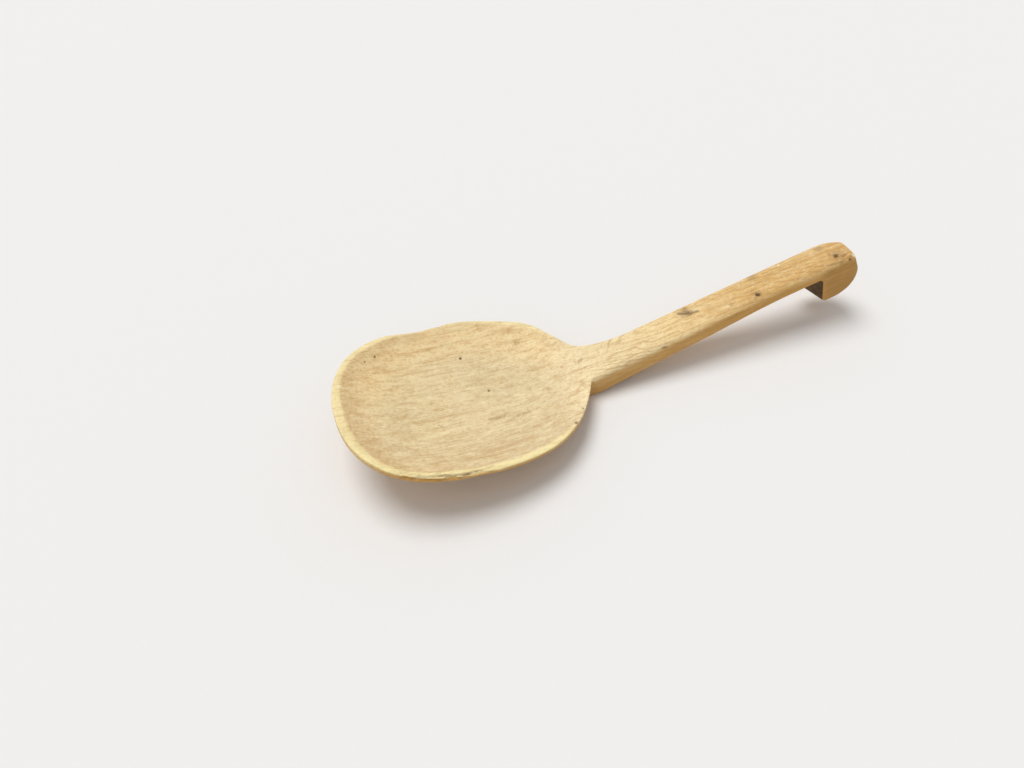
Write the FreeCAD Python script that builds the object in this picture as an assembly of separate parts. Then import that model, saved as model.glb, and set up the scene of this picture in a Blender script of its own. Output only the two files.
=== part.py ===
# Butter paddle: a dished blade and a hooked handle, carved in one piece from a maple board.
import FreeCAD, Part
import math
import os

Vector = FreeCAD.Vector

# Blade, from the neck, where the plane of the rim meets the top of the handle
blade_length = 154.0
blade_width = 123.5
dish_depth = 13.0
floor_thickness = 5.0
edge_thickness = 3.2
tip_land = 5.0
far_land = 1.6
near_land = 4.0
dish_centre = 80.0
dish_run_out = 4.0
dish_roundness = 2.6
tip_fullness = 2.7
neck_fullness = 2.0
belly_roundness = 2.4
belly_run_out = 5.0

# Handle, along its top from the neck
handle_rise = 19.4
handle_length = 179.4
handle_width = 25.0
neck_thickness = 15.2
root_thickness = 13.7
middle_thickness = 12.2
grip_thickness = 9.8
root_station = 35.0
middle_station = 75.0
seat_length = 26.0
flare_width = 7.6
flare_length = 34.0
near_taper = 2.4
near_rounding = 5.0
edge_rounding = 2.5
under_rounding = 2.5

# Hook at the end of the handle; its inner face stands askew and its far corner is rounded off
hook_length = 25.4
hook_depth = 30.0
hook_radius = 16.0
hook_skew = 11.0
end_rake = 2.6
toe_bevel = 3.2
corner_length = 18.4
corner_radius = 23.0

# Keel that carries the handle on under the blade, lengths back from the neck
shoulder_length = 6.0
heel_length = 10.0
keel_length = 52.0
keel_peak = 17.0
keel_drop = 17.0
keel_end_depth = 15.5
keel_end_width = 9.0

# The end of the handle sinks by this angle when the paddle lies on a table
rest_tilt = 9.5

# The blade seen from above: share of its length from the neck, share of its half width
far_outline = [(-0.006, 0.31), (0.047, 0.48), (0.133, 0.765), (0.286, 0.921), (0.449, 1.0),
               (0.603, 0.96), (0.746, 0.97), (0.879, 0.81), (0.967, 0.5)]
near_outline = [(1.0, 0.0), (0.968, -0.42), (0.893, -0.70), (0.757, -0.915), (0.605, -0.99),
                (0.423, -0.98), (0.277, -0.893), (0.14, -0.659), (0.049, -0.355), (0.0, -0.12)]

half_width = blade_width / 2
belly_depth = dish_depth + floor_thickness
dish_half_width = half_width - (far_land + near_land) / 2
dish_shift = (near_land - far_land) / 2
rise = math.radians(handle_rise)
hook_start = handle_length - hook_length - seat_length
near_side = near_taper - handle_width / 2
sheet_steps = 16
sheet_margin = 14.0
sheet_reach = 30.0
waste_height = 80.0
on_plane = 0.01


def fullness(x, y, length_to_tip, length_to_neck, half):
    """Distance from the deepest point, 1 on a rounded outline of the given half lengths."""
    along = -x - dish_centre
    if along > 0:
        power = tip_fullness
        share = along / length_to_tip
    else:
        power = neck_fullness
        share = -along / length_to_neck
    return (share ** power + (abs(y) / half) ** power) ** (1 / power)


def dish_height(x, y):
    length_to_tip = blade_length - dish_centre - tip_land
    length_to_neck = dish_centre + dish_run_out
    r = fullness(x, y - dish_shift, length_to_tip, length_to_neck, dish_half_width)
    return -dish_depth * (1 - r ** dish_roundness)


def belly_height(x, y):
    r = fullness(x, y, blade_length - dish_centre, dish_centre + belly_run_out, half_width)
    return -edge_thickness - (belly_depth - edge_thickness) * (1 - r ** belly_roundness)


def middle_height(x):
    """Half way through the floor of the hollow, on the centre line."""
    return (dish_height(x, 0) + belly_height(x, 0)) / 2


def sheet(height):
    """A smooth sheet over the blade whose height is given by a function of x and y."""
    x_low = -blade_length - sheet_margin
    x_step = (blade_length + sheet_margin + sheet_reach) / sheet_steps
    y_low = -half_width - sheet_margin
    y_step = (blade_width + 2 * sheet_margin) / sheet_steps
    rows = []
    for i in range(sheet_steps + 1):
        x = x_low + i * x_step
        row = []
        for j in range(sheet_steps + 1):
            y = y_low + j * y_step
            row.append(Vector(x, y, height(x, y)))
        rows.append(row)
    surface = Part.BSplineSurface()
    surface.interpolate(rows)
    return surface.toShape()


def make_blade():
    """The sawn outline with the belly carved away below it."""
    points = []
    for along, across in far_outline + near_outline:
        points.append(Vector(-blade_length * along, half_width * across, 0))
    curve = Part.BSplineCurve()
    curve.interpolate(points, True)
    blank = Part.Face(Part.Wire(curve.toShape())).extrude(Vector(0, 0, -2 * belly_depth))
    waste = sheet(belly_height).extrude(Vector(0, 0, -waste_height))
    return blank.cut(waste)


def make_side_profile():
    """The handle from the side, the hook's notch not yet cut: s along its top, n square to it."""
    centre_s = handle_length - hook_radius
    centre_n = hook_radius - hook_depth

    def point(s, n):
        return Vector(s, 0, n)

    def under_blade(x, z):
        """A point given in the plane of the rim, turned into the handle's own s and n."""
        return point(x * math.cos(rise) + z * math.sin(rise), z * math.cos(rise) - x * math.sin(rise))

    def on_hook(angle):
        turn = math.radians(angle)
        return point(centre_s + hook_radius * math.cos(turn), centre_n + hook_radius * math.sin(turn))

    rake_angle = 2 * math.degrees(math.atan(end_rake / -centre_n))
    crown = point(handle_length - end_rake, 0)
    block_end = point(hook_start, -hook_depth)
    seat_end = point(hook_start, -grip_thickness)
    middle = point(middle_station, -middle_thickness)
    root = point(root_station, -root_thickness)
    neck = point(0, -neck_thickness)
    keel = under_blade(-keel_peak, -keel_drop)
    keel_end = under_blade(-keel_length, -keel_end_depth)
    inner_end = under_blade(-keel_length, middle_height(-keel_length))
    heel = under_blade(-heel_length, middle_height(-heel_length))
    shoulder = point(-shoulder_length, 0)

    underside = Part.BSplineCurve()
    underside.interpolate(Points=[seat_end, middle, root, neck, keel, keel_end],
                          InitialTangent=Vector(-1, 0, 0), FinalTangent=keel_end - keel)
    edges = [
        Part.LineSegment(shoulder, crown),
        Part.LineSegment(crown, on_hook(rake_angle)),
        Part.Arc(on_hook(rake_angle), on_hook((rake_angle - 90) / 2), on_hook(-90)),
        Part.LineSegment(on_hook(-90), block_end),
        Part.LineSegment(block_end, seat_end),
        underside,
        Part.LineSegment(keel_end, inner_end),
        Part.LineSegment(inner_end, heel),
        Part.LineSegment(heel, shoulder),
    ]
    return Part.Face(Part.Wire([edge.toShape() for edge in edges]))


def make_plan_profile():
    """The handle from above: its far side flares into the blade and is rounded off at the hook."""
    half = handle_width / 2
    back = -keel_length
    front = handle_length + edge_rounding
    corner_start = handle_length - corner_length
    corner_turn = math.asin((front - corner_start) / corner_radius)

    def on_corner(turn):
        away = corner_radius * (1 - math.cos(turn))
        return Vector(corner_start + corner_radius * math.sin(turn), half - away, 0)

    bend = (flare_length ** 2 + flare_width ** 2) / (2 * flare_width)
    middle = math.asin(flare_length / bend) / 2
    flare_start = Vector(flare_length, half, 0)
    flare_middle = Vector(flare_length - bend * math.sin(middle), half + bend * (1 - math.cos(middle)), 0)
    corners = [on_corner(corner_turn), Vector(front, near_side, 0), Vector(hook_start, near_side, 0),
               Vector(0, -half, 0), Vector(back, -keel_end_width / 2, 0),
               Vector(back, keel_end_width / 2, 0), Vector(0, half + flare_width, 0)]
    edges = [Part.LineSegment(a, b) for a, b in zip(corners, corners[1:])]
    edges.append(Part.Arc(corners[-1], flare_middle, flare_start))
    edges.append(Part.LineSegment(flare_start, on_corner(0)))
    edges.append(Part.Arc(on_corner(0), on_corner(corner_turn / 2), on_corner(corner_turn)))
    return Part.Face(Part.Wire([edge.toShape() for edge in edges]))


def middle_of(edge):
    return edge.valueAt((edge.FirstParameter + edge.LastParameter) / 2)


def span_of(edge):
    return edge.valueAt(edge.LastParameter) - edge.valueAt(edge.FirstParameter)


def runs_across(edge):
    return abs(span_of(edge).y) > handle_width / 2


def stands_square(edge):
    """Square to the handle's top, like the line where the far side starts to round off."""
    return abs(span_of(edge).x) < on_plane and abs(span_of(edge).y) < on_plane


def is_top(edge):
    return middle_of(edge).x > 0 and abs(middle_of(edge).z) < on_plane


def is_near_top(edge):
    return is_top(edge) and middle_of(edge).y < near_side / 2 and not runs_across(edge)


def is_outer(edge):
    """The top's far and end edges, and the edges round the sides of the hook."""
    middle = middle_of(edge)
    at_end = middle.x > handle_length - hook_radius
    at_foot = middle.x > hook_start + on_plane and middle.z < -grip_thickness
    if is_top(edge):
        return middle.y > 0 or at_end
    return (at_end or at_foot) and not runs_across(edge) and not stands_square(edge)


def is_near_under(edge):
    """The near edge of the underside, from the blade to the hook; the far one is left square."""
    middle = middle_of(edge)
    on_underside = -keel_drop < middle.z < on_plane - grip_thickness
    on_handle = 0 < middle.x < handle_length - hook_length
    return on_handle and on_underside and middle.y < 0 and not runs_across(edge)


def make_notch():
    """Waste below the seat and in front of the hook's inner face, and that below its bevelled toe."""
    toe = handle_length - hook_length
    lean = math.tan(math.radians(hook_skew))
    near = near_side - handle_width
    far = near_side + 2 * handle_width
    corners = [Vector(hook_start, near, 0), Vector(toe - lean * (near - near_side), near, 0),
               Vector(toe - lean * (far - near_side), far, 0), Vector(hook_start, far, 0)]
    notch = Part.Face(Part.makePolygon(corners + corners[:1])).extrude(Vector(0, 0, -waste_height))
    notch.translate(Vector(0, 0, -grip_thickness))

    corners = [Vector(toe, near, toe_bevel - hook_depth), Vector(toe + toe_bevel, near, -hook_depth),
               Vector(toe + toe_bevel, near, -waste_height), Vector(toe, near, -waste_height)]
    bevel = Part.Face(Part.makePolygon(corners + corners[:1])).extrude(Vector(0, far - near, 0))
    bevel.rotate(Vector(toe, near_side, 0), Vector(0, 0, 1), hook_skew)
    return notch.fuse(bevel)


def make_handle():
    """Handle, hook and keel: sawn from the side and from above, then rounded."""
    side = make_side_profile()
    side.translate(Vector(0, -handle_width, 0))
    side = side.extrude(Vector(0, 2 * handle_width, 0))
    plan = make_plan_profile()
    plan.translate(Vector(0, 0, -waste_height / 2))
    plan = plan.extrude(Vector(0, 0, waste_height))
    handle = side.common(plan).Solids[0]

    handle = handle.makeFillet(near_rounding, [edge for edge in handle.Edges if is_near_top(edge)])
    handle = handle.makeFillet(edge_rounding, [edge for edge in handle.Edges if is_outer(edge)])
    handle = handle.cut(make_notch()).Solids[0]
    handle = handle.makeFillet(under_rounding, [edge for edge in handle.Edges if is_near_under(edge)])
    handle.rotate(Vector(0, 0, 0), Vector(0, 1, 0), -handle_rise)
    return handle


def make_paddle():
    """Blade and handle as one piece of wood, hollowed out and laid down as it rests."""
    body = make_blade().fuse(make_handle())
    hollow = sheet(dish_height).extrude(Vector(0, 0, waste_height))
    body = body.cut(hollow).Solids[0]
    body.rotate(Vector(0, 0, 0), Vector(0, 1, 0), rest_tilt)
    box = body.optimalBoundingBox()
    body.translate(Vector(-box.Center.x, -box.Center.y, -box.ZMin))
    return body


paddle = make_paddle()
os.makedirs("parts", exist_ok=True)
paddle.exportStep("parts/paddle.step")
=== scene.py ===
import itertools
import math

import bmesh
import bpy
import numpy as np
from mathutils import Matrix, Vector


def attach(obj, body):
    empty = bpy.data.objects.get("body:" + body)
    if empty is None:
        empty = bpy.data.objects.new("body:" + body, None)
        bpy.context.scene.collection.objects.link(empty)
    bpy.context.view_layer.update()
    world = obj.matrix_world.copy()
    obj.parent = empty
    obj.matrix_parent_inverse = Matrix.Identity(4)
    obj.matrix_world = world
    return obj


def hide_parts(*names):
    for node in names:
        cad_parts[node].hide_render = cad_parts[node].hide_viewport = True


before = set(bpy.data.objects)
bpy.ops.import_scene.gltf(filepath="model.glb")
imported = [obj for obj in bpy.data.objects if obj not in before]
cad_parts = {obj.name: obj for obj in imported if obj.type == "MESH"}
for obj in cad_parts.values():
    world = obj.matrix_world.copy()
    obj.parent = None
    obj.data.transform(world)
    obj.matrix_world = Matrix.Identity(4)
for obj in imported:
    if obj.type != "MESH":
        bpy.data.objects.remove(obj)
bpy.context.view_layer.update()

MM = 0.001

# Sizes of the paddle in millimetres, from the neck, where the rim's plane meets the handle's top
BLADE_LENGTH = 154.0
DISH_CENTRE = 80.0
TIP_LAND = 5.0
DISH_RUN_OUT = 4.0
DISH_SHIFT = 1.2
HALF_DISH = 58.95
TIP_FULLNESS = 2.7
NECK_FULLNESS = 2.0
HANDLE_LENGTH = 179.4

# How the paddle lies in the frame, in millimetres and degrees
NECK = Vector((-13.5, -0.1, 15.2))
REST_DEGREES = 9.5
HANDLE_RISE = 19.4
REST_TILT = math.radians(REST_DEGREES)
HANDLE_LIFT = math.radians(HANDLE_RISE - REST_DEGREES)

# The photograph's camera, in millimetres along and across the blade and above its rim
CAMERA_PLACE = (-173.1, -301.7, 319.6)
CAMERA_FORWARD = (0.2714, 0.6577, -0.7027)
CAMERA_UP = (0.1929, 0.6781, 0.7092)
FOCAL_PIXELS = 770.0
IMAGE_WIDTH = 1024
SENSOR_WIDTH = 36.0

# The studio: a pale floor, one wide soft lamp, and even light from all around
FLOOR_SIZE = 8
FLOOR_COLOUR = (0.87, 0.86, 0.845, 1)
LAMP_PLACE = (-0.2, 0.5, 1.5)
LAMP_ENERGY = 1.8
LAMP_WIDTH = math.radians(36)
SKY_LIGHT = 0.46
SKY_SEEN = 0.85

# The even mesh that is carved, in millimetres, and how often its parts are smoothed
VOXEL = 0.5
BODY_ROUNDS = 10
RIM_ROUNDS = 14
NECK_ROUNDS = 60

# Worn faces: how deep in millimetres, how large, and which pattern
HANDLE_FACES = [(0.16, (19, 10, 10), 1), (0.06, (6, 4.5, 4.5), 2)]
BLADE_FACES = [(0.09, (17, 9, 9), 3), (0.03, (5, 3, 3), 4)]
RIM_FACES = (0.22, (7, 7, 7), 5)
NEAR_RIM_FACES = (0.10, (2.2, 2.2, 2.2), 6)

# Depths of the marks in millimetres
CRACK_DEPTH = 0.8
BROKEN_DEPTH = 0.4
RAGGED_DEPTH = 1.2
FRAYED_DEPTH = 0.35
BLADE_PIT_DEPTH = 0.5
SCRATCH_DEPTH = 0.12
NICK_DEPTH = 0.9
HANDLE_PIT_DEPTH = 0.7
SLIT_DEPTH = 0.25
CHIP_DEPTH = 0.3

# Marks on the blade, in millimetres along and across it: round ones with their radius, smears with their
# width, and lines
BLADE_PITS = [(-121.3, 45.8, 0.9), (-128.0, 42.5, 0.6), (-69.7, 36.5, 1.1), (-60.1, 7.8, 0.9)]
BLADE_SCRATCHES = [[(-60.1, 7.8), (-56.9, 6.4)], [(-97.0, -10.5), (-95.6, -13.0), (-94.6, -16.4)],
                   [(-95.2, -12.6), (-93.4, -13.4)]]
BLADE_SMEARS = [((-66.6, -16.0), (-56.4, -15.1), 2.2), ((-50.6, -18.0), (-43.4, -17.6), 1.7),
                ((-34.5, 35.4), (-32.0, 37.0), 2.0), ((-3.6, 6.6), (-1.0, 7.6), 1.6)]
EDGE_CRACK = [(-131.0, -44.6), (-125.0, -48.4), (-120.5, -51.6), (-115.8, -54.0), (-108.1, -55.6),
              (-100.8, -57.6), (-93.1, -58.9), (-86.0, -58.6), (-79.0, -57.6)]
EDGE_NICKS = [(-23.9, -41.0, 1.5), (-77.6, 60.0, 1.3), (-72.0, 60.6, 0.8), (-15.5, -31.0, 0.8)]

# Marks on the handle, in millimetres along and across it: round ones with their radius, and slits with
# their line, width and strength
HANDLE_PITS = [(112.3, -5.2, 1.9), (166.7, -3.2, 1.8), (172.6, -9.9, 1.2)]
HANDLE_SLITS = [([(64.7, 7.6), (68.2, 5.6), (71.2, 4.0), (76.4, 2.8)], 1.9, 0.8),
                ([(68.6, 7.4), (70.6, 6.0), (72.2, 3.6)], 1.5, 0.7),
                ([(68.4, 9.2), (72.4, 8.6)], 0.5, 0.6),
                ([(44.6, -10.6), (48.2, -11.0)], 0.8, 0.6),
                ([(169.4, -6.0), (172.0, -5.6)], 1.2, 0.6),
                ([(157.0, -7.0), (163.5, -8.0), (169.5, -8.8)], 0.7, 0.35)]
HANDLE_STAINS = [(161.8, 7.6, 2.0), (116.6, 9.0, 2.6), (95.3, -3.6, 1.5), (167.4, -3.8, 3.8),
                 (69.0, 6.0, 4.2), (112.3, -5.2, 2.8)]
HANDLE_CHIPS = [(135.0, 9.4, 0.8), (176.0, -7.6, 1.3)]

# The heart of the tree, which ran along the blade, across and above it, and its yearly growth
PITH_ACROSS = 44.0
PITH_HEIGHT = 74.0
RING_SPACING = 3.6

# Colours as they look on a screen, 0 to 255
ALONG_COLOURS = [(0.00, (246, 219, 168)), (0.12, (240, 215, 164)), (0.28, (234, 212, 168)),
                 (0.42, (252, 232, 187)), (0.52, (246, 223, 173)), (0.64, (249, 217, 156)),
                 (0.78, (229, 187, 117)), (0.90, (224, 179, 108)), (1.00, (217, 169, 97))]
HOLLOW_GREY = (221, 202, 158)
# Painted light: a paler colour on the hollow's far slope
FAR_SLOPE_LIGHT = (252, 221, 162)
# Painted shade: a darker colour on the hollow's near slope
NEAR_SLOPE_SHADE = (212, 188, 146)
# Painted shade: a darker tan band on the steep wall just inside the rim
INNER_EDGE_SHADE = (220, 188, 136)
CLOUDED = (226, 196, 141)
FRESH_RIM = (254, 238, 178)
WORN_RIM = (255, 238, 172)
# The broken edge's paler wood, darkened with painted shade
BROKEN_WOOD_AND_SHADE = (206, 166, 118)
RING_BROWN = (176, 128, 66)
RING_TAN = (190, 146, 86)
PORE_BROWN = (140, 100, 56)
# Painted shade: darker colours on faces that do not face up, and on the hook's near side
SIDE_SHADE_GOLD = (203, 151, 70)
SIDE_SHADE_BROWN = (168, 116, 52)
HOOK_SIDE_SHADE = (176, 130, 64)
STAIN_BROWN = (148, 112, 66)
# Painted shade: a near-black brown on the hook's inner face
HOOK_INNER_SHADE = (50, 29, 12)
CHIP_PALE = (250, 238, 204)
KNOT_DARK = (78, 48, 14)

# What the textures add: name, where it starts and is full, how much, and its colour
LONG_TEXTURES = [("fibre", 0.50, 0.74, 0.58, (176, 134, 78)), ("fibre", 0.50, 0.26, 0.50, (254, 238, 192)),
                 ("streak", 0.50, 0.75, 0.46, (194, 150, 90)), ("streak", 0.50, 0.25, 0.36, (252, 234, 184))]
SPOT_TEXTURES = [("mottle", 0.50, 0.75, 0.42, (194, 152, 94)), ("mottle", 0.50, 0.25, 0.40, (254, 238, 192)),
                 ("speck", 0.52, 0.75, 0.46, (192, 152, 98)), ("speck", 0.48, 0.25, 0.30, (252, 238, 200))]


def axes(lift):
    """Directions along, across and square to a part of the paddle that rises by this angle."""
    along = Vector((math.cos(lift), 0, math.sin(lift)))
    return along, Vector((0, 1, 0)), Vector((-math.sin(lift), 0, math.cos(lift)))


def turned(values):
    """A direction given along, across and square to the blade, in the frame."""
    return sum((axis * value for axis, value in zip(axes(-REST_TILT), values)), Vector())


def local(vertices, lift):
    """Vertices of the frame, in millimetres along, across and square to the blade or handle."""
    matrix = np.array([list(axis) for axis in axes(lift)])
    return (vertices / MM - np.array(NECK)) @ matrix.T


def make_camera():
    data = bpy.data.cameras.new("camera")
    data.sensor_fit = "HORIZONTAL"
    data.sensor_width = SENSOR_WIDTH
    data.lens = data.sensor_width * FOCAL_PIXELS / IMAGE_WIDTH
    data.clip_start = 0.01
    camera = bpy.data.objects.new("camera", data)
    bpy.context.collection.objects.link(camera)
    forward = turned(CAMERA_FORWARD)
    top = turned(CAMERA_UP)
    right = forward.cross(top).normalized()
    turn = Matrix((right, top, -forward)).transposed().to_4x4()
    camera.matrix_world = Matrix.Translation((NECK + turned(CAMERA_PLACE)) * MM) @ turn
    bpy.context.scene.camera = camera


def remeshed_copy(source, name, voxel):
    """The CAD solid as an even mesh of small faces, which the carving below can shape."""
    mesh = source.data.copy()
    mesh.transform(source.matrix_world)
    mesh.materials.clear()
    shell = bmesh.new()
    shell.from_mesh(mesh)
    bmesh.ops.remove_doubles(shell, verts=shell.verts, dist=1e-6)
    shell.to_mesh(mesh)
    shell.free()
    piece = bpy.data.objects.new(name, mesh)
    bpy.context.collection.objects.link(piece)
    remesh = piece.modifiers.new("remesh", "REMESH")
    remesh.mode = "VOXEL"
    remesh.voxel_size = voxel * MM
    graph = bpy.context.evaluated_depsgraph_get()
    even = bpy.data.meshes.new_from_object(piece.evaluated_get(graph))
    piece.modifiers.clear()
    piece.data = even
    even.name = name
    return piece


def get_vertices(mesh, field="co"):
    flat = np.empty(len(mesh.vertices) * 3)
    mesh.vertices.foreach_get(field, flat)
    return flat.reshape(-1, 3)


def set_vertices(mesh, vertices):
    mesh.vertices.foreach_set("co", vertices.ravel())
    mesh.update()


def get_edges(mesh):
    flat = np.empty(len(mesh.edges) * 2, dtype=np.int64)
    mesh.edges.foreach_get("vertices", flat)
    return flat.reshape(-1, 2)


def smoothed(vertices, edges, weight, rounds):
    """Each vertex drawn towards the middle of its neighbours, as far as its weight says."""
    ends = np.concatenate([edges[:, 0], edges[:, 1]])
    others = np.concatenate([edges[:, 1], edges[:, 0]])
    count = np.bincount(ends, minlength=len(vertices))
    for _ in range(rounds):
        middle = np.stack([np.bincount(ends, vertices[others, k], len(vertices)) for k in range(3)], 1)
        middle /= count[:, None]
        vertices = vertices + weight[:, None] * (middle - vertices)
    return vertices


def rise(value, low, high):
    """0 below low, 1 above high, and smooth between."""
    share = np.clip((value - low) / (high - low), 0, 1)
    return share * share * (3 - 2 * share)


def fall(value, low, high):
    """1 below low, 0 above high, and smooth between."""
    return 1 - rise(value, low, high)


def hashed(cell, seed):
    """A number from -1 to 1 for each cell of a lattice, always the same one."""
    x, y, z = cell.astype(np.int64).T
    mixed = (x * 73856093) ^ (y * 19349663) ^ (z * 83492791) ^ (seed * 40503)
    mixed = (mixed ^ (mixed >> 13)) * 1274126177
    mixed = mixed ^ (mixed >> 16)
    return (mixed & 0xffff) / 32767.5 - 1


def noise(points, sizes, seed):
    """Smooth noise from -1 to 1, with lumps of these sizes in millimetres."""
    scaled = points / np.array(sizes)
    cell = np.floor(scaled)
    part = scaled - cell
    fade = part * part * (3 - 2 * part)
    total = np.zeros(len(points))
    for corner in itertools.product((0, 1), repeat=3):
        weight = np.prod(np.where(corner, fade, 1 - fade), axis=1)
        total += weight * hashed(cell + corner, seed)
    return total


def faces(points, wear):
    """Depth of the uneven faces that a tool or wear leaves, from 0 to twice the one given."""
    depth, sizes, seed = wear
    return depth * (1 + noise(points, sizes, seed))


def fullness(x, y):
    """Distance from the deepest point of the hollow, 1 on the hollow's edge."""
    along = -x - DISH_CENTRE
    to_tip = np.clip(along, 0, None) / (BLADE_LENGTH - DISH_CENTRE - TIP_LAND)
    to_neck = np.clip(-along, 0, None) / (DISH_CENTRE + DISH_RUN_OUT)
    power = np.where(along > 0, TIP_FULLNESS, NECK_FULLNESS)
    across = np.abs(y - DISH_SHIFT) / HALF_DISH
    return (np.maximum(to_tip, to_neck) ** power + across ** power) ** (1 / power)


def distance_to_line(points, line):
    """Distance of each point from a line of straight pieces, both seen from above."""
    nearest = np.full(len(points), 1e6)
    for start, end in zip(line, line[1:]):
        start = np.array(start)
        step = np.array(end) - start
        share = np.clip((points - start) @ step / (step @ step), 0, 1)
        gap = points - start - share[:, None] * step
        nearest = np.minimum(nearest, np.hypot(gap[:, 0], gap[:, 1]))
    return nearest


def spot(points, centre, radius, wobble):
    """1 in the middle of a round mark and 0 outside it, with an uneven edge."""
    away = np.hypot(points[:, 0] - centre[0], points[:, 1] - centre[1])
    return fall(away * (1 + 0.25 * wobble), 0.45 * radius, 1.15 * radius)


def set_mask(mesh, name, values):
    layer = mesh.attributes.new(name, "FLOAT", "POINT")
    layer.data.foreach_set("value", np.clip(values, 0, 1).astype(np.float32))


def carve(piece):
    """Takes the even mesh down to worn, hand-cut wood and records where each mark lies."""
    mesh = piece.data
    edges = get_edges(mesh)
    vertices = get_vertices(mesh)
    vertices = smoothed(vertices, edges, np.full(len(vertices), 0.5), BODY_ROUNDS)

    blade = local(vertices, -REST_TILT)
    handle = local(vertices, HANDLE_LIFT)
    x, y, z = blade.T
    s, _, n = handle.T
    full = fullness(x, y)
    on_blade = fall(x, -14, -4)
    on_handle = rise(s, -2, 14)
    at_rim = rise(full, 0.93, 0.99) * rise(z, -6, -4) * on_blade
    vertices = smoothed(vertices, edges, 0.5 * at_rim, RIM_ROUNDS)
    at_neck = np.exp(-((x + 2) / 15) ** 2) * rise(y, -13, -5)
    vertices = smoothed(vertices, edges, 0.5 * at_neck, NECK_ROUNDS)
    set_vertices(mesh, vertices)

    normals = get_vertices(mesh, "normal")
    facing_up = rise(normals[:, 2], 0.2, 0.6)
    wobble = noise(blade, (1.3, 1.3, 1.3), 11)
    fine = noise(blade, (0.9, 0.9, 0.9), 12)
    plan = np.stack([x, y], 1)
    grip = np.stack([s, y], 1)
    on_top = on_handle * facing_up * rise(n, -6, -4)

    # Worn faces left by the knife and the scoop, and the rim, wider at the tip's near side
    depth = np.zeros(len(x))
    for wear in HANDLE_FACES:
        depth += faces(handle, wear) * on_handle
    for wear in BLADE_FACES:
        depth += faces(blade, wear) * on_blade
    wider = 0.03 * rise(-y, 0, 30) * rise(-x, 70, 110)
    rim = rise(full + wider, 0.975, 1.005) * rise(z, -3.2, -1.2) * on_blade
    depth += faces(blade, RIM_FACES) * rim
    depth += faces(blade, NEAR_RIM_FACES) * rim * (y < 0)

    # The near edge, broken along a crack and frayed beside it
    to_crack = distance_to_line(plan, EDGE_CRACK)
    along_crack = rise(x, -134, -124) * fall(x, -88, -74)
    inside = rise(full, 0.90, 0.94) * along_crack
    crack = fall(to_crack * (1 + 0.6 * wobble), 0.2, 1.2) * inside * facing_up
    crack *= 0.25 + 0.75 * rise(noise(blade, (5, 5, 5), 7), -0.45, 0.25)
    crack_line = np.interp(x, [point[0] for point in EDGE_CRACK], [point[1] for point in EDGE_CRACK])
    outside = rise(crack_line - y, 0.2, 1.6) * along_crack * rise(z, -4.5, -3.0)
    ragged = rise(noise(blade, (3.5, 2.0, 2.0), 8), -0.5, 0.6)
    depth += CRACK_DEPTH * crack + outside * (BROKEN_DEPTH + RAGGED_DEPTH * ragged)
    frayed = rise(noise(blade, (2.4, 1.1, 1.1), 9), 0.0, 0.5)
    frayed *= fall(to_crack, 1.0, 3.5) * along_crack * facing_up
    depth += FRAYED_DEPTH * frayed

    # Knots, pin marks, nicks and scratches
    dark = 0.6 * crack + 0.22 * frayed
    light = np.zeros(len(x))
    stain = np.zeros(len(x))
    for a, b, radius in BLADE_PITS:
        mark = spot(plan, (a, b), radius, wobble) * facing_up * rise(z, -14, -13)
        depth += BLADE_PIT_DEPTH * mark
        dark = np.maximum(dark, mark)
    for line in BLADE_SCRATCHES:
        mark = fall(distance_to_line(plan, line), 0.1, 0.7) * facing_up
        depth += SCRATCH_DEPTH * mark
        dark = np.maximum(dark, 0.3 * mark * rise(wobble, -0.6, 0.2))
    for a, b, radius in EDGE_NICKS:
        mark = spot(plan, (a, b), radius, wobble) * rise(z, -3, -1.5)
        depth += NICK_DEPTH * mark
        dark = np.maximum(dark, 0.8 * mark)
    for a, b, radius in HANDLE_PITS:
        mark = spot(grip, (a, b), radius, wobble) * on_top
        depth += HANDLE_PIT_DEPTH * mark
        dark = np.maximum(dark, mark)
    for line, width, strength in HANDLE_SLITS:
        first, last = line[0][0], line[-1][0]
        taper = np.interp(s, [first, (first + last) / 2, last], [0.4, 1, 0.4])
        away = distance_to_line(grip, line) * (1 + 0.3 * wobble) / taper
        mark = fall(away, 0.0, 1.45 * width) * on_top
        depth += SLIT_DEPTH * width * strength * mark
        dark = np.maximum(dark, strength * mark)
    for a, b, radius in HANDLE_CHIPS:
        mark = spot(grip, (a, b), radius, wobble) * on_top
        depth += CHIP_DEPTH * mark
        light = np.maximum(light, mark)
    for a, b, radius in HANDLE_STAINS:
        stain = np.maximum(stain, 0.7 * spot(grip, (a, b), 1.4 * radius, 2 * wobble) * on_top)
    for start, end, width in BLADE_SMEARS:
        away = distance_to_line(plan, [start, end]) * (1 + 0.3 * wobble)
        mark = fall(away, 0.3 * width, 1.1 * width) * rise(fine, -0.9, 0.1)
        stain = np.maximum(stain, 0.75 * mark * facing_up)

    vertices = vertices - normals * (depth * MM)[:, None]
    vertices = smoothed(vertices, edges, np.full(len(vertices), 0.4), 1)
    set_vertices(mesh, vertices)
    for polygon in mesh.polygons:
        polygon.use_smooth = True

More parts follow.
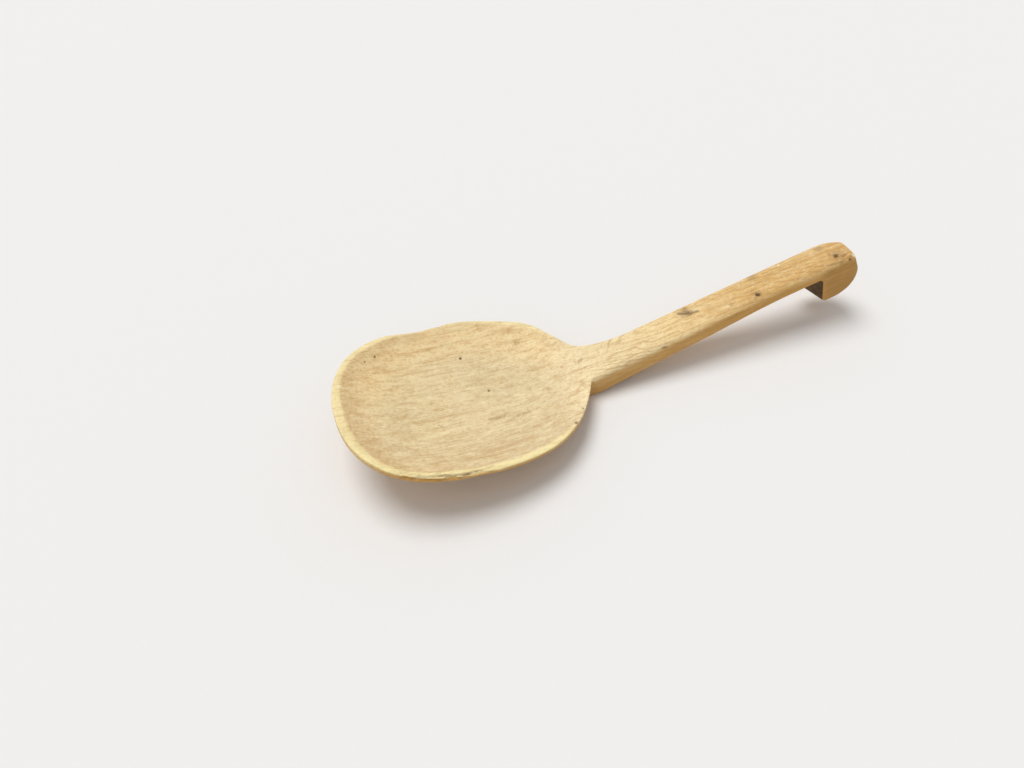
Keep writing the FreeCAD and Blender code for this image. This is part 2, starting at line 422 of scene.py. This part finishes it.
    # Where each colour lies
    station = np.where(x < 0, x + BLADE_LENGTH, s + BLADE_LENGTH) / (BLADE_LENGTH + HANDLE_LENGTH)
    edge_up = rise(normals[:, 2], -0.1, 0.5)
    # Painted shade: faces that do not face up get darker colours, less so on faces turned to the ends
    side_shade = fall(normals[:, 2], 0.1, 0.75) * (1 - 0.45 * rise(np.abs(normals[:, 0]), 0.6, 0.9))
    # Painted light on the hollow's far slope
    far_slope_light = rise(full, 0.45, 0.9) * fall(full, 0.97, 1.0) * rise(y, 0, 30) * fall(x, -20, 0)
    # Painted shade on the hollow's near slope
    near_slope_shade = rise(full, 0.3, 0.8) * fall(full, 0.95, 0.985) * rise(-y, -5, 30) * rise(-x, 10, 30)
    # Painted shade on the steep wall just inside the rim
    inner_edge_shade = rise(full, 0.72, 0.95) * fall(full, 0.985, 1.0) * fall(x, -140, -70)
    # The hook's inner face, which gets painted shade
    in_hook = rise(-normals[:, 0], 0.5, 0.9) * rise(s, 148, 150) * fall(s, 157, 159)
    set_mask(mesh, "station", station)
    set_mask(mesh, "handle", rise(s, -25, 25))
    set_mask(mesh, "rim", rim * (1 - crack) * edge_up * (0.55 + 0.45 * fall(y, -45, -5)))
    # Painted light on the hollow's far slope, then painted shade on its near slope and inside the rim
    set_mask(mesh, "painted_slope_light", far_slope_light * facing_up)
    set_mask(mesh, "shade", near_slope_shade * facing_up)
    set_mask(mesh, "rim_inside_shade", inner_edge_shade * facing_up)
    set_mask(mesh, "broken", outside)
    set_mask(mesh, "dark", dark)
    set_mask(mesh, "light", light)
    set_mask(mesh, "stain", stain)
    set_mask(mesh, "hollow", fall(full, 0.5, 0.95) * facing_up)
    # Painted shade on the hook's inner face
    set_mask(mesh, "hook_inner_shade", in_hook * fall(n, -9.6, -9.0))
    # Painted shade on the sides and on the hook's side
    set_mask(mesh, "side_shade", side_shade)
    set_mask(mesh, "hook_side_shade", side_shade * rise(s, 148, 160))


def colour(shade):
    """A colour given as it looks on a screen, 0 to 255, in the linear values of a shader."""
    return (*(((value / 255 + 0.055) / 1.055) ** 2.4 for value in shade), 1.0)


class Graph:
    """Short ways to add nodes to a material."""

    def __init__(self, name):
        self.material = bpy.data.materials.new(name)
        self.material.use_nodes = True
        self.nodes = self.material.node_tree.nodes
        self.links = self.material.node_tree.links
        self.shader = self.nodes["Principled BSDF"]

    def put(self, socket, value):
        if isinstance(value, bpy.types.NodeSocket):
            self.links.new(value, socket)
        else:
            socket.default_value = value

    def math(self, operation, first, second=0.0, third=0.0):
        node = self.nodes.new("ShaderNodeMath")
        node.operation = operation
        for socket, value in zip(node.inputs, (first, second, third)):
            self.put(socket, value)
        return node.outputs[0]

    def mask(self, name):
        node = self.nodes.new("ShaderNodeAttribute")
        node.attribute_name = name
        return node.outputs["Fac"]

    def mix(self, factor, first, second):
        node = self.nodes.new("ShaderNodeMix")
        node.data_type = "RGBA"
        self.put(node.inputs["Factor"], factor)
        self.put(node.inputs[6], first)
        self.put(node.inputs[7], second)
        return node.outputs[2]

    def mix_vectors(self, factor, first, second):
        node = self.nodes.new("ShaderNodeMix")
        node.data_type = "VECTOR"
        self.put(node.inputs["Factor"], factor)
        self.put(node.inputs[4], first)
        self.put(node.inputs[5], second)
        return node.outputs[1]

    def map(self, vector, place, turn, scale):
        node = self.nodes.new("ShaderNodeMapping")
        self.put(node.inputs["Vector"], vector)
        self.put(node.inputs["Location"], place)
        self.put(node.inputs["Rotation"], (0, turn, 0))
        self.put(node.inputs["Scale"], (scale, scale, scale))
        return node.outputs[0]

    def ramp(self, factor, stops):
        node = self.nodes.new("ShaderNodeValToRGB")
        elements = node.color_ramp.elements
        while len(elements) < len(stops):
            elements.new(0.5)
        for element, (place, shade) in zip(elements, stops):
            element.position = place
            element.color = colour(shade)
        self.put(node.inputs[0], factor)
        return node.outputs[0]

    def span(self, value, low, high, start=0.0, end=1.0):
        """A value taken smoothly from start to end while it goes from low to high."""
        node = self.nodes.new("ShaderNodeMapRange")
        node.interpolation_type = "SMOOTHSTEP"
        for name, number in (("Value", value), ("From Min", low), ("From Max", high),
                             ("To Min", start), ("To Max", end)):
            self.put(node.inputs[name], number)
        return node.outputs[0]

    def noise(self, place, scale, detail=2.0, rough=0.5):
        """Noise with its lumps stretched by a scale for each direction, in lumps per millimetre."""
        stretched = self.nodes.new("ShaderNodeVectorMath")
        stretched.operation = "MULTIPLY"
        self.put(stretched.inputs[0], place)
        self.put(stretched.inputs[1], scale)
        node = self.nodes.new("ShaderNodeTexNoise")
        self.put(node.inputs["Vector"], stretched.outputs[0])
        self.put(node.inputs["Scale"], 1.0)
        self.put(node.inputs["Detail"], detail)
        self.put(node.inputs["Roughness"], rough)
        return node.outputs["Fac"]


def make_wood():
    g = Graph("maple")
    in_frame = g.nodes.new("ShaderNodeTexCoord").outputs["Object"]
    place = g.map(in_frame, tuple(local(np.zeros(3), -REST_TILT)), -REST_TILT, 1 / MM)
    risen = g.map(place, (0, 0, 0), HANDLE_LIFT + REST_TILT, 1)
    on_handle = g.mask("handle")
    grain = g.mix_vectors(on_handle, place, risen)

    # Growth rings round the heart of the tree, uneven in shape and spacing
    split = g.nodes.new("ShaderNodeSeparateXYZ")
    g.put(split.inputs["Vector"], place)
    sway = g.span(g.noise(place, (0.008, 0.03, 0.03), 2.0), 0.2, 0.8, -7.0, 7.0)
    ripple = g.span(g.noise(place, (0.03, 0.09, 0.09), 2.0), 0.2, 0.8, -1.4, 1.4)
    across = g.math("SUBTRACT", split.outputs["Y"], PITH_ACROSS)
    below = g.math("SUBTRACT", split.outputs["Z"], PITH_HEIGHT)
    radius = g.math("SQRT", g.math("ADD", g.math("POWER", across, 2.0), g.math("POWER", below, 2.0)))
    radius = g.math("ADD", radius, g.math("ADD", sway, ripple))
    turn = g.math("MULTIPLY", radius, 2 * math.pi / RING_SPACING)
    late = g.math("POWER", g.math("MULTIPLY_ADD", g.math("SINE", turn), 0.5, 0.5), 6.0)
    faint = g.math("MULTIPLY_ADD", g.math("SINE", g.math("MULTIPLY", turn, 2.7)), 0.5, 0.5)
    strength = g.span(g.noise(place, (0.02, 0.06, 0.06), 1.0), 0.3, 0.7, 0.35, 1.0)
    late = g.math("MULTIPLY", late, strength)

    # Fibres, pores and broad clouds of tone
    textures = {"fibre": g.noise(grain, (0.05, 1.5, 1.5), 4.0, 0.65),
                "streak": g.noise(grain, (0.016, 0.35, 0.35), 3.0, 0.6),
                "mottle": g.noise(grain, (0.10, 0.24, 0.24), 3.0, 0.6),
                "speck": g.noise(place, (0.5, 0.5, 0.5), 3.0, 0.6)}
    pore = g.span(g.noise(grain, (0.35, 3.2, 3.2), 2.0, 0.6), 0.60, 0.72)
    cloud = g.noise(place, (0.022, 0.03, 0.03), 3.0, 0.55)

    def masked(name, strength):
        return g.math("MULTIPLY", g.mask(name), strength)

    # The wood's tone, part by part, with painted light on the hollow's far slope and painted shade on its
    # near slope, on the steep wall inside the rim and on the broken edge
    base = g.ramp(g.mask("station"), ALONG_COLOURS)
    base = g.mix(masked("hollow", g.span(cloud, 0.35, 0.65, 0.15, 0.8)), base, colour(HOLLOW_GREY))
    base = g.mix(masked("painted_slope_light", 0.8), base, colour(FAR_SLOPE_LIGHT))
    base = g.mix(masked("shade", 0.6), base, colour(NEAR_SLOPE_SHADE))
    base = g.mix(masked("rim_inside_shade", 0.7), base, colour(INNER_EDGE_SHADE))
    base = g.mix(g.span(cloud, 0.55, 0.75, 0.0, 0.5), base, colour(CLOUDED))
    base = g.mix(masked("rim", g.span(textures["speck"], 0.3, 0.6, 0.6, 1.0)), base, colour(FRESH_RIM))
    base = g.mix(masked("broken", g.span(textures["speck"], 0.35, 0.6, 0.4, 0.9)), base, colour(BROKEN_WOOD_AND_SHADE))

    # Its rings, fibres, pores and specks
    ring_dark = g.math("MULTIPLY", late, g.math("MULTIPLY_ADD", on_handle, 0.50, 0.12))
    base = g.mix(ring_dark, base, colour(RING_BROWN))
    ring_soft = g.math("MULTIPLY", faint, g.math("MULTIPLY_ADD", on_handle, 0.10, 0.05))
    base = g.mix(ring_soft, base, colour(RING_TAN))
    for name, low, high, most, shade in LONG_TEXTURES:
        base = g.mix(g.span(textures[name], low, high, 0.0, most), base, colour(shade))
    base = g.mix(g.math("MULTIPLY", pore, 0.32), base, colour(PORE_BROWN))
    for name, low, high, most, shade in SPOT_TEXTURES:
        base = g.mix(g.span(textures[name], low, high, 0.0, most), base, colour(shade))

    # Darker sides as painted shade, painted shade on the hook's side and inner face, the worn rim, stains
    # and marks
    fibre, streak, mottle = textures["fibre"], textures["streak"], textures["mottle"]
    base = g.mix(masked("side_shade", g.span(fibre, 0.35, 0.65, 0.70, 0.86)), base, colour(SIDE_SHADE_GOLD))
    base = g.mix(masked("side_shade", g.span(streak, 0.35, 0.65, 0.0, 0.25)), base, colour(SIDE_SHADE_BROWN))
    # Painted shade on the hook's near side
    base = g.mix(masked("hook_side_shade", g.span(mottle, 0.35, 0.65, 0.5, 0.85)), base, colour(HOOK_SIDE_SHADE))
    base = g.mix(masked("rim", 0.45), base, colour(WORN_RIM))
    base = g.mix(masked("stain", 0.55), base, colour(STAIN_BROWN))
    # Painted shade: a near-black brown on the hook's inner face
    base = g.mix(masked("hook_inner_shade", g.span(mottle, 0.3, 0.6, 0.97, 0.86)), base, colour(HOOK_INNER_SHADE))
    base = g.mix(g.mask("light"), base, colour(CHIP_PALE))
    base = g.mix(masked("dark", g.span(fibre, 0.3, 0.6, 0.65, 0.95)), base, colour(KNOT_DARK))
    g.put(g.shader.inputs["Base Color"], base)

    worn = g.math("MULTIPLY_ADD", g.mask("rim"), -0.10, 0.58)
    rough = g.math("MULTIPLY_ADD", textures["speck"], 0.16, worn)
    g.put(g.shader.inputs["Roughness"], rough)
    g.shader.inputs["Specular IOR Level"].default_value = 0.35

    height = g.math("MULTIPLY", fibre, 0.60)
    height = g.math("SUBTRACT", height, g.math("MULTIPLY", late, 0.18))
    height = g.math("SUBTRACT", height, g.math("MULTIPLY", pore, 0.30))
    height = g.math("ADD", height, g.math("MULTIPLY", textures["speck"], 0.12))
    relief = g.nodes.new("ShaderNodeBump")
    relief.inputs["Strength"].default_value = 0.5
    relief.inputs["Distance"].default_value = 0.35 * MM
    g.put(relief.inputs["Height"], height)
    g.put(g.shader.inputs["Normal"], relief.outputs[0])
    return g.material


def make_floor():
    bpy.ops.mesh.primitive_plane_add(size=FLOOR_SIZE, location=(0, 0, 0))
    floor = bpy.context.object
    floor.name = "floor"
    g = Graph("floor")
    g.shader.inputs["Base Color"].default_value = FLOOR_COLOUR
    g.shader.inputs["Roughness"].default_value = 0.9
    floor.data.materials.append(g.material)


def make_sky():
    """Even light from all around, which the camera and gloss see as a pale backdrop."""
    world = bpy.data.worlds.new("studio")
    world.use_nodes = True
    nodes, links = world.node_tree.nodes, world.node_tree.links
    path = nodes.new("ShaderNodeLightPath")
    seen = path.outputs["Is Camera Ray"]
    for name in ("Is Glossy Ray", "Is Transmission Ray"):
        either = nodes.new("ShaderNodeMath")
        either.operation = "MAXIMUM"
        links.new(seen, either.inputs[0])
        links.new(path.outputs[name], either.inputs[1])
        seen = either.outputs[0]
    strength = nodes.new("ShaderNodeMapRange")
    strength.inputs["To Min"].default_value = SKY_LIGHT
    strength.inputs["To Max"].default_value = SKY_SEEN
    links.new(seen, strength.inputs["Value"])
    nodes["Background"].inputs["Color"].default_value = (1, 1, 1, 1)
    links.new(strength.outputs[0], nodes["Background"].inputs["Strength"])
    bpy.context.scene.world = world


def make_lamp():
    data = bpy.data.lights.new("overhead", "SUN")
    data.energy = LAMP_ENERGY
    data.angle = LAMP_WIDTH
    lamp = bpy.data.objects.new("overhead", data)
    lamp.location = LAMP_PLACE
    lamp.rotation_mode = "QUATERNION"
    lamp.rotation_quaternion = (-lamp.location).to_track_quat("-Z", "Y")
    bpy.context.collection.objects.link(lamp)


make_camera()
bpy.context.scene.view_settings.view_transform = "Standard"
paddle = remeshed_copy(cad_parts["paddle"], "carved_paddle", VOXEL)
carve(paddle)
paddle.data.materials.append(make_wood())
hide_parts("paddle")
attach(paddle, "root")
make_floor()
make_sky()
make_lamp()
